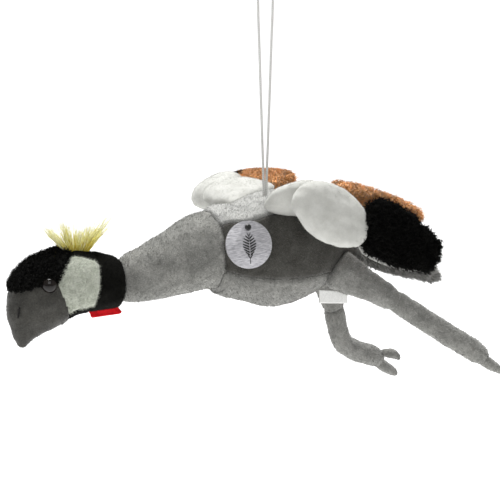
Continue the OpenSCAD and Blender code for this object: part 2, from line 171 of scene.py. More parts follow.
def moulded_material(name, low, high, scale, rough=0.5, metallic=0.0):
    """Plastic or tin with a faint mottle."""
    m, tree, p = nodes_of(name)
    tree.links.new(ramp(tree, noise_node(tree, scale, 3), low, high), p.inputs["Base Color"])
    p.inputs["Roughness"].default_value = rough
    p.inputs["Metallic"].default_value = metallic
    return m


def shades(name, colour, spread, count=4, rough=0.8, sheen=0.3, shine=0.25):
    """The same fibre in a few tones, from dark to light."""
    return [fibre_material(f"{name}_{i}", [c * k for c in colour], rough, sheen, shine)
            for i, k in enumerate(np.linspace(1 - spread, 1 + spread, count))]


# ---- Meshes ----
def make_mesh(name, points, faces, materials, slots=None, smooth=True):
    """A mesh from an array of points and an array of faces with the same number of corners each."""
    faces = np.asarray(faces, np.int32)
    me = bpy.data.meshes.new(name)
    me.vertices.add(len(points))
    me.vertices.foreach_set("co", np.asarray(points, np.float32).ravel())
    me.loops.add(faces.size)
    me.loops.foreach_set("vertex_index", faces.ravel())
    me.polygons.add(len(faces))
    me.polygons.foreach_set("loop_start", np.arange(0, faces.size, faces.shape[1], dtype=np.int32))
    for m in materials:
        me.materials.append(m)
    if slots is not None:
        me.polygons.foreach_set("material_index", np.asarray(slots, np.int32))
    me.update(calc_edges=True)
    me.validate()
    me.polygons.foreach_set("use_smooth", np.full(len(me.polygons), smooth))
    o = bpy.data.objects.new(name, me)
    bpy.context.collection.objects.link(o)
    return o


def grid_faces(rows, columns, closed):
    """Faces between the rows of a grid of points; closed joins its last column to its first."""
    i, k = np.meshgrid(np.arange(rows - 1), np.arange(columns if closed else columns - 1), indexing="ij")
    n = (k + 1) % columns
    here, after = i * columns, (i + 1) * columns
    return np.stack([here + k, after + k, after + n, here + n], -1).reshape(-1, 4)


def end_faces(rows, columns):
    """Triangles that close the first and the last ring of a grid on two points added after its own."""
    k = np.arange(columns)
    n, last = (k + 1) % columns, (rows - 1) * columns
    a, b = np.full(columns, rows * columns), np.full(columns, rows * columns + 1)
    return np.vstack([np.stack([k, n, a], -1), np.stack([last + n, last + k, b], -1)])


def pick_shades(tone, materials):
    """A material for each fibre from its tone, which is about -1.5 to 1.5."""
    return np.clip(((tone + 1.5) / 3 * len(materials)).astype(int), 0, len(materials) - 1)


def lock_points(line, a, b, thick):
    """Three-sided locks round their middle lines; a and b point across each lock."""
    ring = [line + (a[:, None] * math.cos(k * THIRD) + b[:, None] * math.sin(k * THIRD)) * thick[..., None]
            for k in range(3)]
    return np.stack(ring, 2).reshape(-1, 3)


def lock_faces(count, segments):
    lock, seg, k = np.meshgrid(np.arange(count), np.arange(segments), np.arange(3), indexing="ij")
    base, m = (lock * (segments + 1) + seg) * 3, (k + 1) % 3
    return np.stack([base + k, base + m, base + 3 + m, base + 3 + k], -1).reshape(-1, 4)


def catmull(st, u):
    """Stations between the given ones, on the curve through them."""
    st = np.asarray(st, float)
    u = np.clip(u, 0, len(st) - 1)
    i = np.minimum(u.astype(int), len(st) - 2)
    t = (u - i)[:, None]
    a, b, c, d = st[np.maximum(i - 1, 0)], st[i], st[i + 1], st[np.minimum(i + 2, len(st) - 1)]
    return 0.5 * (2 * b + (c - a) * t + (2 * a - 5 * b + 4 * c - d) * t**2 + (3 * b - a - 3 * c + d) * t**3)


class Tube:
    """Rings along a row of stations [x, y, z, half width, half height], in mm from the cord's exit."""

    def __init__(self, stations, side, step=1.2, first=0.0, last=0.0):
        u = np.linspace(0, len(stations) - 1, 400)
        fine = catmull(stations, u)
        along = np.concatenate([[0], np.cumsum(np.linalg.norm(np.diff(fine[:, :3], axis=0), axis=1))])
        count = max(4, int(along[-1] / step) + 1)
        self.u = np.interp(np.linspace(0, along[-1], count), along, u)
        s = catmull(stations, self.u)
        heading = unit(np.gradient(s[:, :3], axis=0))
        if first:
            a = np.radians(np.linspace(3, 90, max(4, int(first * 1.6 / step)), endpoint=False))[:, None]
            cap = np.hstack([s[:1, :3] - heading[:1] * first * np.cos(a), s[:1, 3:] * np.sin(a)])
            s, heading = np.vstack([cap, s]), np.vstack([np.repeat(heading[:1], len(a), 0), heading])
            self.u = np.concatenate([np.full(len(a), -0.001), self.u])
        if last:
            a = np.radians(np.linspace(90, 3, max(4, int(last * 1.6 / step)) + 1)[1:])[:, None]
            cap = np.hstack([s[-1:, :3] + heading[-1:] * last * np.cos(a), s[-1:, 3:] * np.sin(a)])
            s, heading = np.vstack([s, cap]), np.vstack([heading, np.repeat(heading[-1:], len(a), 0)])
            self.u = np.concatenate([self.u, np.full(len(a), len(stations) - 0.999)])
        self.s, self.heading = s, heading
        self.top = unit(np.cross(heading, np.asarray(side, float)))
        self.across = np.cross(self.top, heading)

    def grid(self, columns, angles=None, off=0.0, square=1.0):
        """Rows by columns of points in mm; angle 0 is +across, 90 is +top."""
        a = np.radians(np.linspace(0, 360, columns, endpoint=False) if angles is None else angles)
        c, s = np.cos(a)[None, :, None], np.sin(a)[None, :, None]
        if square != 1.0:
            c, s = np.sign(c) * np.abs(c)**square, np.sign(s) * np.abs(s)**square
        w = (self.s[:, 3] + off)[:, None, None]
        h = (self.s[:, 4] + off)[:, None, None]
        return self.s[:, None, :3] + self.across[:, None] * w * c + self.top[:, None] * h * s


def normals_of(p, closed=True):
    along = np.gradient(p, axis=0)
    if closed:
        around = (np.roll(p, -1, 1) - np.roll(p, 1, 1)) / 2
    else:
        around = np.gradient(p, axis=1)
    return -unit(np.cross(along, around))


def wobble(p, size, seed, count=9):
    """Smooth noise from -1 to 1 whose lumps are about size across."""
    r = np.random.default_rng(seed)
    total = np.zeros(p.shape[:-1])
    for _ in range(count):
        d = unit(r.normal(size=3)) * 2 * math.pi / (size * r.uniform(0.7, 1.8))
        total += np.sin(p @ d + r.uniform(0, TURN))
    return total / count * 1.6


def relax(field, rounds, closed=True):
    for _ in range(rounds):
        sideways = (np.roll(field, 1, 1) + np.roll(field, -1, 1)) / 2
        if not closed:
            sideways[:, 0], sideways[:, -1] = field[:, 0], field[:, -1]
        up = field.copy()
        up[1:-1] = (field[2:] + field[:-2]) / 2
        field = (field * 2 + sideways + up) / 4
    return field


def trial_cloth(p, voxel):
    """A closed grid as an object of its own, remeshed to even faces about a voxel across."""
    rows, columns = p.shape[:2]
    points = np.vstack([p.reshape(-1, 3), p[0].mean(0), p[-1].mean(0)]) * MM
    quads = grid_faces(rows, columns, True)
    tris = np.vstack([quads[:, [0, 1, 2]], quads[:, [0, 2, 3]], end_faces(rows, columns)])
    o = make_mesh("trial", points, tris, [])
    re = o.modifiers.new("remesh", "REMESH")
    re.mode, re.voxel_size = "VOXEL", voxel * MM
    dg = bpy.context.evaluated_depsgraph_get()
    mesh = bpy.data.meshes.new_from_object(o.evaluated_get(dg))
    bpy.data.objects.remove(o)
    o = bpy.data.objects.new("trial", mesh)
    bpy.context.collection.objects.link(o)
    return o


def blow_up(o, pinned, near, swell, pressure, frames=20):
    """Cloth under pressure on a trial, held near the pinned points. No point moves more than swell mm."""
    rest = np.array([v.co for v in o.data.vertices])
    group = o.vertex_groups.new(name="seams")
    cloth = o.modifiers.new("cloth", "CLOTH")
    s = cloth.settings
    if pinned is not None and len(pinned):
        pins = np.asarray(pinned) * MM
        held = np.array([np.min(np.linalg.norm(pins - q, axis=1)) for q in rest]) < near * MM
        group.add([int(i) for i in np.nonzero(held)[0]], 1.0, "REPLACE")
        s.vertex_group_mass = "seams"
    s.quality, s.mass = 5, 0.15
    s.tension_stiffness = s.compression_stiffness = 12
    s.shear_stiffness, s.bending_stiffness = 6, 0.3
    s.use_pressure, s.uniform_pressure_force = True, pressure
    s.effector_weights.gravity = 0
    cloth.point_cache.frame_start, cloth.point_cache.frame_end = 1, frames
    for f in range(1, frames + 1):
        bpy.context.scene.frame_set(f)
    dg = bpy.context.evaluated_depsgraph_get()
    move = np.array([v.co for v in o.evaluated_get(dg).data.vertices]) - rest
    size = np.linalg.norm(move, axis=1, keepdims=True)
    move *= np.minimum(1, swell * MM / np.maximum(size, 1e-9))
    o.modifiers.remove(cloth)
    o.data.vertices.foreach_set("co", (rest + move).astype(np.float32).ravel())


def stuffed(p, pinned=None, swell=2.0, voxel=4.5, pressure=4.0):
    """How far out, in mm, a remeshed copy of a closed grid lies after cloth has run on it under pressure.

    With these settings the cloth moves by less than 0.1 mm on average. What is read back is mostly the
    shrink of the remesh and its subdivision, 0.2 to 1.7 mm inwards on average.
    """
    rows, columns = p.shape[:2]
    o = trial_cloth(p, voxel)
    blow_up(o, pinned, voxel * 0.9, swell, pressure)
    o.modifiers.new("sub", "SUBSURF").levels = 1
    dg = bpy.context.evaluated_depsgraph_get()
    tree = BVHTree.FromObject(o, dg)
    above, reach = 0.008, 0.014  # how far over the grid a ray starts, and how long it is, in metres
    out = np.zeros(rows * columns)
    for i, (q, d) in enumerate(zip(p.reshape(-1, 3) * MM, normals_of(p).reshape(-1, 3))):
        hit = tree.ray_cast(Vector(q + d * above), Vector(-d), reach)
        out[i] = 0 if hit[0] is None else 8 - hit[3] / MM
    bpy.data.objects.remove(o)
    bpy.context.scene.frame_set(1)
    return relax(np.clip(out, -3, swell + 1).reshape(rows, columns), 6)


def attach(o, rider, replaces=()):
    """Rider is a body, or (body a, body b, start, end), whose bodies and points are not used: such a piece is
    only fixed where it is.
    """
    if isinstance(rider, str):
        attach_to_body(o, rider)
    else:
        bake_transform(o)
    if replaces:
        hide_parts(*replaces)
    return o


def patch(name, p, keep, closed, material, ends=False):
    """The kept faces of a grid as a piece of their own. ends closes the first and the last ring."""
    rows, columns = p.shape[:2]
    faces = grid_faces(rows, columns, closed)
    if keep is not None:
        faces = faces[keep.ravel()]
    points = p.reshape(-1, 3)
    if ends:
        points = np.vstack([points, p[0].mean(0), p[-1].mean(0)])
        faces = np.vstack([faces, end_faces(rows, columns)[:, [0, 1, 2, 2]]])
    used = np.unique(faces)
    order = np.full(len(points), -1)
    order[used] = np.arange(len(used))
    corners = order[faces]
    flat = corners[:, 2] == corners[:, 3]
    o = make_mesh(name, (points[used] + BACK) * MM, corners[~flat], [material])
    if flat.any():
        bm = bmesh.new()
        bm.from_mesh(o.data)
        bm.verts.ensure_lookup_table()
        for f in corners[flat]:
            face = bm.faces.new([bm.verts[int(j)] for j in f[:3]])
            face.smooth = True
        bm.to_mesh(o.data)
        bm.free()
    return o


def scatter(p, normal, closed, count, keep=None, seed=1):
    """Random places on a grid: points, normals and the direction of its rows, in mm."""
    r = np.random.default_rng(seed)
    rows, columns = p.shape[:2]
    f = grid_faces(rows, columns, closed)
    if keep is not None:
        f = f[keep.ravel()]
    q, n = p.reshape(-1, 3), normal.reshape(-1, 3)
    area = np.linalg.norm(np.cross(q[f[:, 1]] - q[f[:, 0]], q[f[:, 3]] - q[f[:, 0]]), axis=1)
    pick = r.choice(len(f), count, p=area / area.sum())
    f = f[pick]
    a, b = r.random((count, 1)), r.random((count, 1))

    def at(v):
        return (v[f[:, 0]] * (1 - a) + v[f[:, 1]] * a) * (1 - b) + (v[f[:, 3]] * (1 - a) + v[f[:, 2]] * a) * b

    return at(q), unit(at(n)), unit(q[f[:, 1]] - q[f[:, 0]])


def area_of(p, closed, keep=None):
    f = grid_faces(*p.shape[:2], closed)
    if keep is not None:
        f = f[keep.ravel()]
    q = p.reshape(-1, 3)
    return float(np.linalg.norm(np.cross(q[f[:, 1]] - q[f[:, 0]], q[f[:, 3]] - q[f[:, 0]]), axis=1).sum())


def nap(name, p, normal, closed, materials, rider, keep=None, density=1.5, length=1.7, width=0.3,
        lean=0.6, seed=1, clump=3.0):
    """Short pile: one thin blade for each tuft of fibres, leaning along the cloth with the nap."""
    count = int(area_of(p, closed, keep) * density * (1))
    q, n, along = scatter(p, normal, closed, count, keep, seed)
    r = np.random.default_rng(seed + 50)
    swirl = np.stack([wobble(q, clump, seed + i, 7) for i in range(3)], -1) * 0.35
    way = unit(n + (along * lean + swirl) + r.normal(size=(count, 3)) * 0.18)
    side = unit(np.cross(way, r.normal(size=(count, 3))))
    size = length * r.uniform(0.6, 1.15, (count, 1))
    base = q - n * 0.25
    points = np.stack([base - side * width / 2, base + side * width / 2, base + way * size], 1).reshape(-1, 3)
    shade = pick_shades(wobble(q, clump * 1.3, seed + 9, 7) + r.normal(size=count) * 0.75, materials)
    o = make_mesh(name, (points + BACK) * MM, np.arange(count * 3).reshape(-1, 3), materials, shade, False)
    return attach(o, rider)


def shag(name, q, n, lean, materials, rider, length=6.0, radius=0.5, curl=0.7, turns=1.2, segments=6,
         seed=1, droop=0.0):
    """Long pile: curled, tapering locks."""
    count = len(q)
    r = np.random.default_rng(seed)
    way = unit(n + lean + r.normal(size=(count, 3)) * 0.3)
    a = unit(np.cross(way, r.normal(size=(count, 3))))
    b = np.cross(way, a)
    size = length * r.uniform(0.55, 1.2, (count, 1))
    t = np.linspace(0, 1, segments + 1)
    phase = r.uniform(0, TURN, (count, 1))
    spin = TURN * turns * r.uniform(0.6, 1.4, (count, 1)) * np.where(r.random((count, 1)) < 0.5, -1, 1)
    wave = curl * np.sqrt(t)[None]
    line = (q[:, None] - n[:, None] * 0.6 + way[:, None] * (size * t)[..., None]
            + a[:, None] * (wave * np.cos(phase + spin * t))[..., None]
            + b[:, None] * (wave * np.sin(phase + spin * t))[..., None]
            + (unit(lean) * droop)[:, None] * (size * t**2)[..., None])
    thick = radius * r.uniform(0.7, 1.2, (count, 1)) * (1 - 0.75 * t[None]**2)
    shade = pick_shades(wobble(q, 7, seed + 3, 7) + r.normal(size=count) * 0.7, materials)
    o = make_mesh(name, (lock_points(line, a, b, thick) + BACK) * MM, lock_faces(count, segments), materials,
                  np.repeat(shade, segments * 3))
    return attach(o, rider)


def edge_steps(label, closed, reach=6):
    """For each point of a grid, how many steps away the nearest seam between two labels is."""
    rows, columns = label.shape[0] + 1, label.shape[1] + (0 if closed else 1)
    far = np.full((rows, columns), float(reach))
    wide = np.concatenate([label, label[:, :1]], 1) if closed else label
    a, b = np.nonzero(wide[:, 1:] != wide[:, :-1])
    far[a, (b + 1) % columns] = 0
    far[a + 1, (b + 1) % columns] = 0
    a, b = np.nonzero(label[1:] != label[:-1])
    far[a + 1, b] = 0
    far[a + 1, (b + 1) % columns] = 0
    for _ in range(reach):
        near = np.minimum(np.roll(far, 1, 1), np.roll(far, -1, 1)) if closed else far
        far = np.minimum(far, near + 1)
        far[1:] = np.minimum(far[1:], far[:-1] + 1)
        far[:-1] = np.minimum(far[:-1], far[1:] + 1)
    return far


# ---- Colours ----
GREY = {
    # side is a darker copy of the grey velour for the torso's sides: painted shade
    "side": ((0.042, 0.040, 0.034), (0.072, 0.070, 0.062)),
    # back is a lighter copy of the same grey velour for the top of the torso: painted light
    "back": ((0.32, 0.32, 0.31), (0.46, 0.46, 0.44)),
    "neck": ((0.165, 0.165, 0.153), (0.270, 0.268, 0.250)),
    "pale": ((0.160, 0.159, 0.148), (0.250, 0.248, 0.232)),
    "face": ((0.034, 0.033, 0.029), (0.062, 0.060, 0.053)),
    "tail": ((0.100, 0.099, 0.092), (0.180, 0.178, 0.166)),
}
grey = {k: cloth_material(f"velour_{k}", lo, hi) for k, (lo, hi) in GREY.items()}
# The pile takes the tones of its cloth, the painted shade of the sides and the painted light of the back
# among them.
grey_nap = {k: shades(f"velour_nap_{k}", [(x + y) * 0.66 for x, y in zip(lo, hi)], 0.7)
            for k, (lo, hi) in GREY.items()}
# The white minky and its pile are coloured a light grey, darker than the white cloth, as painted shade.
white = cloth_material("minky_white", (0.46, 0.46, 0.43), (0.55, 0.55, 0.52), 60, 1100, 0.2, 0.2, 0.0003,
                       mottle=0.06)
white_nap = shades("minky_nap", (0.51, 0.51, 0.48), 0.04, sheen=0.05)
# The cheeks' white plush and its pile are coloured a greenish grey as painted shade.
cheek_cloth = cloth_material("cheek_pile", (0.34, 0.36, 0.30), (0.50, 0.52, 0.45), 120, 900, 0.4)
cheek_nap = shades("cheek_nap", (0.50, 0.52, 0.45), 0.25)
black = cloth_material("plush_black", (0.0025, 0.0025, 0.002), (0.006, 0.006, 0.005), 120, 1000, 0.0,
                       shine=0.05)
black_nap = shades("plush_nap_black", (0.005, 0.005, 0.0045), 0.6, rough=0.85, sheen=0.0, shine=0.05)
black_fur = shades("fur_black", (0.0035, 0.0035, 0.003), 0.7, rough=0.8, sheen=0.0, shine=0.08)
brown = cloth_material("brown_backing", (0.40, 0.19, 0.07), (0.60, 0.31, 0.13), 150, 700)
brown_fur = shades("fur_brown", (0.74, 0.37, 0.14), 0.35, 5)
stuffing = cloth_material("stuffing_fibre", (0.55, 0.55, 0.52), (0.75, 0.75, 0.72), 60, 500)
felt = cloth_material("wattle_felt", (0.50, 0.004, 0.008), (0.74, 0.010, 0.016), 200, 1500, 0.1, 0.7, 0.0004)
satin = cloth_material("label_weave", (0.72, 0.72, 0.70), (0.80, 0.80, 0.78), 60, 1600, 0.15, 0.3, 0.0002,
                       stretch=(1, 1, 5), rough=0.5)
thread = cloth_material("black_thread", (0.006, 0.006, 0.006), (0.015, 0.015, 0.014), 300, 3000, 0.1)


# ---- Cord ----
def hang_cord():
    half = [(-1.1, -170), (-1.2, -158), (-1.8, -140), (-2.5, -122), (-3.1, -104), (-3.8, -86), (-4.4, -68),
            (-5, -50), (-5.7, -32), (-6.2, -16), (-6.1, -7), (-4.9, -1.8), (-2.6, 0.5)]
    route = half + [(0, 1)] + [(-x, z) for x, z in reversed(half)]
    line = np.array([[x, 0, z] for x, z in route], float)
    curve = bpy.data.curves.new("hang_cord_braid", "CURVE")
    curve.dimensions = "3D"
    spline = curve.splines.new("BEZIER")
    spline.bezier_points.add(len(line) - 1)
    for point, q in zip(spline.bezier_points, line):
        point.co = q * MM
        point.handle_left_type = point.handle_right_type = "AUTO"
    curve.bevel_depth, curve.bevel_resolution = 0.001, 6
    curve.use_fill_caps = True
    m, tree, p = nodes_of("cord_braid")
    ribs = tree.nodes.new("ShaderNodeTexWave")
    ribs.wave_type, ribs.bands_direction = "BANDS", "DIAGONAL"
    ribs.inputs["Scale"].default_value = 420
    ribs.inputs["Distortion"].default_value = 1.5
    tree.links.new(tree.nodes.new("ShaderNodeTexCoord").outputs["Object"], ribs.inputs["Vector"])
    # The white braid is coloured grey, darkest where its bump sinks between the ribs: painted shade.
    tree.links.new(ramp(tree, ribs.outputs["Fac"], (0.42, 0.42, 0.40), (0.74, 0.74, 0.72), 0.1, 0.7),
                   p.inputs["Base Color"])
    p.inputs["Roughness"].default_value = 0.75
    p.inputs["Sheen Weight"].default_value = 0.3
    bumped(tree, p, ribs.outputs["Fac"], 0.6, 0.0003)
    curve.materials.append(m)
    o = bpy.data.objects.new("hang_cord_braid", curve)
    bpy.context.collection.objects.link(o)
    attach(o, "hanger", ["hang_cord"])
    return m


cord_material = hang_cord()

# ---- Body ----
# The body's width and height, and the neck's width at its base and its top, in mm
BW, BH, NB, NT = 82, 94, 62, 40.6
TORSO = [[-47, 0, -44, 0.40 * BW, 0.362 * BH], [-40, 0, -44.3, 0.43 * BW, 0.38 * BH],
         [-25, 0, -47.5, 0.465 * BW, 0.415 * BH], [0, 0, -48.5, 0.5 * BW, 0.5 * BH],
         [25, 0, -51, 0.485 * BW, 0.465 * BH], [48, 0, -55, 0.40 * BW, 0.345 * BH],
         [66, 0, -60, 0.27 * BW, 0.235 * BH], [80, 0, -64, 0.15 * BW, 0.12 * BH]]


def body():
    tube = Tube(TORSO, [0, 1, 0], 1.2, 3, 4)
    p = tube.grid(220)
    columns = p.shape[1]
    angle = np.linspace(0, 360, columns, endpoint=False) + 180 / columns
    kind = np.where((angle > 51) & (angle < 129.5), 0, np.where((angle >= 129.5) & (angle < 200.5), 1,
                    np.where((angle >= 339.5) | (angle <= 51), 2, 3)))
    label = np.repeat(kind[None], len(p) - 1, 0)
    seam = edge_steps(label, True)
    centre = p[seam == 0]
    out = stuffed(p, centre[::3], 2.2)
    normal = normals_of(p)
    rows = np.linspace(0, 1, len(p))[:, None]
    groove = -2.0 * np.exp(-(seam * 1.2 / 1.6) ** 2) - 1.6 * np.exp(-(rows * 130 / 3.0) ** 2)
    lumps = wobble(p, 26, 3) * 0.8 + wobble(p, 11, 4) * 0.3
    exits = -3.2 * np.exp(-(np.linalg.norm(p - np.array([0, 0, -2]), axis=2) / 6) ** 2)
    p = p + normal * (out * 0.9 + groove + lumps + exits)[..., None]
    normal = normals_of(p)
    # The back panel gets the lighter grey as painted light, the two side panels the darker grey as painted
    # shade.
    names = [("back_panel", "back"), ("left_side_panel", "side"), ("right_side_panel", "side"),
             ("belly_panel", "pale")]
    for i, (node, tone) in enumerate(names):
        keep = label == i
        o = patch(node + "_cloth", p, keep, True, grey[tone], ends=(i == 3))
        attach(o, "torso", [node] + (["body_fill"] if i == 3 else []))
        nap(node + "_nap", p, normal, True, grey_nap[tone], "torso", keep, seed=20 + i)


body()

# ---- Neck ----
NECK = [[-125, 0, -61, 17.2, 17.2], [-119, 0, -61, 0.445 * NT, 0.445 * NT], [-112, 0, -59.8, NT / 2, NT / 2],
        [-98, 0, -56.5, 0.365 * NB, 0.365 * NB], [-80, 0, -52, 0.415 * NB, 0.415 * NB],
        [-63, 0, -46.8, 0.47 * NB, 0.47 * NB], [-53, 0, -44.4, 0.495 * NB, 0.495 * NB],
        [-47, 0, -44, NB / 2, NB / 2], [-41, 0, -44, 0.43 * NB, 0.43 * NB]]


def sleeve(name, stations, side, tone, rider, replaces, columns, first, last, swell=1.6, lumps=0.7,
           seed=1, material=None, naps=None, density=1.5, length=1.7, step=1.2, tuck=None):
    """A stuffed cover on one closed tube, with its pile."""
    tube = Tube(stations, side, step, first, last)
    p = tube.grid(columns)
    normal = normals_of(p)
    out = stuffed(p, None, swell)
    shape = out * 0.8 + wobble(p, 20, seed) * lumps + wobble(p, 8, seed + 1) * lumps * 0.35
    if tuck:
        rows = np.arange(len(p))[:, None] * step
        for at, depth in tuck:
            where = rows[-1] - rows if at < 0 else rows
            shape = shape - depth * np.exp(-((where - abs(at)) / 1.8) ** 2)
    p = p + normal * shape[..., None]
    normal = normals_of(p)
    cloth = material or grey[tone]
    o = patch(name, p, None, True, cloth, ends=True)
    attach(o, rider, replaces)
    nap(name + "_nap", p, normal, True, naps or grey_nap[tone], rider, seed=seed + 30, density=density,
        length=length)
    return p


sleeve("neck_cloth", NECK, [0, 1, 0], "neck", ("torso", "neck", [-44, 0, -44], [-70, 0, -49]),
       ["neck_cover", "neck_fill"], 150, 0, 0, seed=5, tuck=[(-6, 1.2)])

# ---- Head ----
BEAK, CAP, CROWN, CHIN, LEFT, RIGHT, BAND = range(7)  # the head's panels
HW = 51  # its width in mm
HEAD = [[-205.5, 0, -102, 0.1 * HW, 4.5], [-203.5, 0, -91, 0.21 * HW, 11.5],
        [-199.5, 0, -77, 0.33 * HW, 18.5],
        [-190, 0, -64, 0.43 * HW, 25], [-173, 0, -57.5, 0.49 * HW, 26], [-154, 0, -57.5, 0.5 * HW, 24.5],
        [-137, 0, -60.4, 0.46 * HW, 21.5], [-125, 0, -61, 0.4 * HW, 20.2]]
EYE = np.array([-188.5, -20.5, -51.5])
EYE_AXIS = unit([-0.22, -0.93, 0.3])


def head_panels(p, u):
    """Which panel each face of the head's grid belongs to; u is each ring's place along HEAD."""
    columns = p.shape[1]
    mid = (p[1:] + p[:-1]) / 2
    mid = (mid + np.roll(mid, -1, 1)) / 2
    x, z = mid[..., 0], mid[..., 2]
    angle = np.repeat((np.linspace(0, 360, columns, endpoint=False) + 180 / columns)[None], len(mid), 0)
    u = np.repeat(((u[1:] + u[:-1]) / 2)[:, None], columns, 1)
    cheek_front = np.interp(z, [-84, -79, -66, -50, -40, -31], [-170, -172, -177, -183, -176, -166])
    brow = np.interp(x, [-216, -195, -184, -170], [-59, -52, -50.5, -50.5])
    height = np.abs(np.where(angle > 270, angle - 360, angle) - 90)
    top = height < np.interp(x, [-175, -160, -150, -142, -134], [22, 26, 36, 52, 70])
    chin = height > np.interp(x, [-185, -172, -160, -145, -134], [128, 130, 132, 128, 116])
    cheek = np.where((angle > 90) & (angle <= 270), LEFT, RIGHT)
    label = np.where(z > brow, CAP, BEAK)
    label = np.where((x > cheek_front) & (u > 2.4), np.where(top, CROWN, np.where(chin, CHIN, cheek)), label)
    return np.where(u > 5.25, BAND, label)


def head_shape():
    """The head's grid with its panels, after the seams are drawn in and the eyes sunk."""
    tube = Tube(HEAD, [0, 1, 0], 1.0, 4, 0)
    p = tube.grid(170)
    jaw = np.exp(-(((p[..., 0] + 184) / 15) ** 2 + ((p[..., 2] + 83) / 13) ** 2))
    p = p + (jaw * 7.5)[..., None] * np.array([0.15, 0, -0.98])
    label = head_panels(p, tube.u)
    seam = edge_steps(label, True)
    out = stuffed(p, p[seam == 0][::3], 1.6, 4.0)
    normal = normals_of(p)
    inside = np.zeros(p.shape[:2])
    for k, rise in {CAP: 1.6, LEFT: 0.8, RIGHT: 0.8}.items():
        own = np.zeros(p.shape[:2])
        own[:-1] = label == k
        inside = np.maximum(inside, own * rise)
    shape = out * 0.8 + relax(inside, 3) - 1.3 * np.exp(-(seam / 1.6) ** 2) + wobble(p, 15, 8) * 0.5
    for way in (-1, 1):
        shape = shape - 1.6 * np.exp(-(np.linalg.norm(p * [1, way, 1] - EYE, axis=2) / 7.5) ** 2)
    rows = (len(p) - 1 - np.arange(len(p)))[:, None]
    shape = shape - 1.5 * np.exp(-(rows / 2.0) ** 2)
    return p + normal * shape[..., None], label


def head():
    p, label = head_shape()
    normal = normals_of(p)
    cover = {BEAK: ("beak_cover", "face_cloth", grey["face"], "grey_plush"),
             CAP: ("forehead_cap", "cap_backing", black, "black_fur"),
             CROWN: ("crown_strip", "crown_strip_cloth", black, "black_plush"),
             CHIN: ("chin_strap", "chin_strap_cloth", black, "black_plush"),
             LEFT: ("left_cheek", "left_cheek_cloth", cheek_cloth, "white_plush"),
             RIGHT: ("right_cheek", "right_cheek_cloth", cheek_cloth, "white_plush"),
             BAND: ("crown_band", "crown_band_cloth", black, "black_plush")}
    turn = ("neck", "head", [-119, 0, -61], [-137, 0, -61])
    for k, (node, name, material, slot) in cover.items():
        keep = label == k
        o = patch(name, p, keep, True, material)
        rider = turn if k == BAND else "head"
        attach(o, rider, [node] + (["head_fill"] if k == BEAK else []))
        if k == CAP:
            count = int(area_of(p, True, keep) * (0.75))
            q, n, along = scatter(p, normal, True, count, keep, 61)
            lean = along * 0.55 * np.where(q[:, 0] > -200, 1, 0.2)[:, None] + np.array([0, 0, -0.15])
            shag("cap_fur", q, n, lean, black_fur, rider, 3.4, 0.55, 0.8, 1.5, 6, 62)
        elif k in (LEFT, RIGHT):
            nap(name + "_nap", p, normal, True, cheek_nap, rider, keep, 1.5, 2.6, 0.28, 0.5, 60 + k, 4)
        elif k == BEAK:
            nap(name + "_nap", p, normal, True, grey_nap["face"], rider, keep, 1.3, 1.3, 0.26, -0.5, 60)
        else:
            nap(name + "_nap", p, normal, True, black_nap, rider, keep, 0.9, 1.4, 0.3, 0.5, 60 + k)


head()


def lathe(name, profile, material, turns=48):
    """A turned piece round Z from (radius, height) pairs in mm."""
    profile = np.asarray(profile, float)
    a = np.linspace(0, 2 * math.pi, turns, endpoint=False)
    points = np.stack([profile[:, None, 0] * np.cos(a), profile[:, None, 0] * np.sin(a),
                       np.repeat(profile[:, 1:], turns, 1)], -1)
    return make_mesh(name, points.reshape(-1, 3) * MM, grid_faces(len(profile), turns, True), [material])


def eyes():
    m, tree, p = nodes_of("eye_gloss")
    tree.links.new(ramp(tree, noise_node(tree, 300, 3), (0.004, 0.003, 0.003), (0.012, 0.009, 0.007)),
                   p.inputs["Base Color"])
    p.inputs["Roughness"].default_value = 0.06
    p.inputs["Specular IOR Level"].default_value = 0.35
    bumped(tree, p, noise_node(tree, 900, 2), 0.03, 0.0001)
    for side, y in (("left", 1), ("right", -1)):
        t = np.radians(np.linspace(0.5, 90, 20))
        dome = np.stack([6.0 * np.sin(t), 5.0 * np.cos(t) - 0.6], -1)
        rim = [(6.15, -0.9), (6.5, -1.1), (6.6, -1.5), (6.2, -1.9), (2.0, -2.2), (0.1, -2.2)]
        o = lathe(f"{side}_eye_dome", np.vstack([dome, rim]), m)
        o.data.transform(Vector((0, 0, 1)).rotation_difference(
            Vector((EYE_AXIS[0], EYE_AXIS[1] * y, EYE_AXIS[2]))).to_matrix().to_4x4())
        o.data.transform(Matrix.Translation(Vector(metres(EYE * [1, y, 1]))))
        attach(o, "head", [f"{side}_eye"])
    w = moulded_material("washer_plastic_moulded", (0.6, 0.6, 0.58), (0.72, 0.72, 0.7), 200)
    for side in ("left", "right"):
        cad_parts[f"{side}_eye_washer"].data.materials.clear()
        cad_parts[f"{side}_eye_washer"].data.materials.append(w)


def paint(node, material):
    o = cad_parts[node]
    for s in o.material_slots:
        s.material = material
    if not o.material_slots:
        o.data.materials.append(material)


eyes()
paint("cord_knot", cord_material)
for fill in [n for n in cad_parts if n.endswith("_fill")]:
    paint(fill, stuffing)

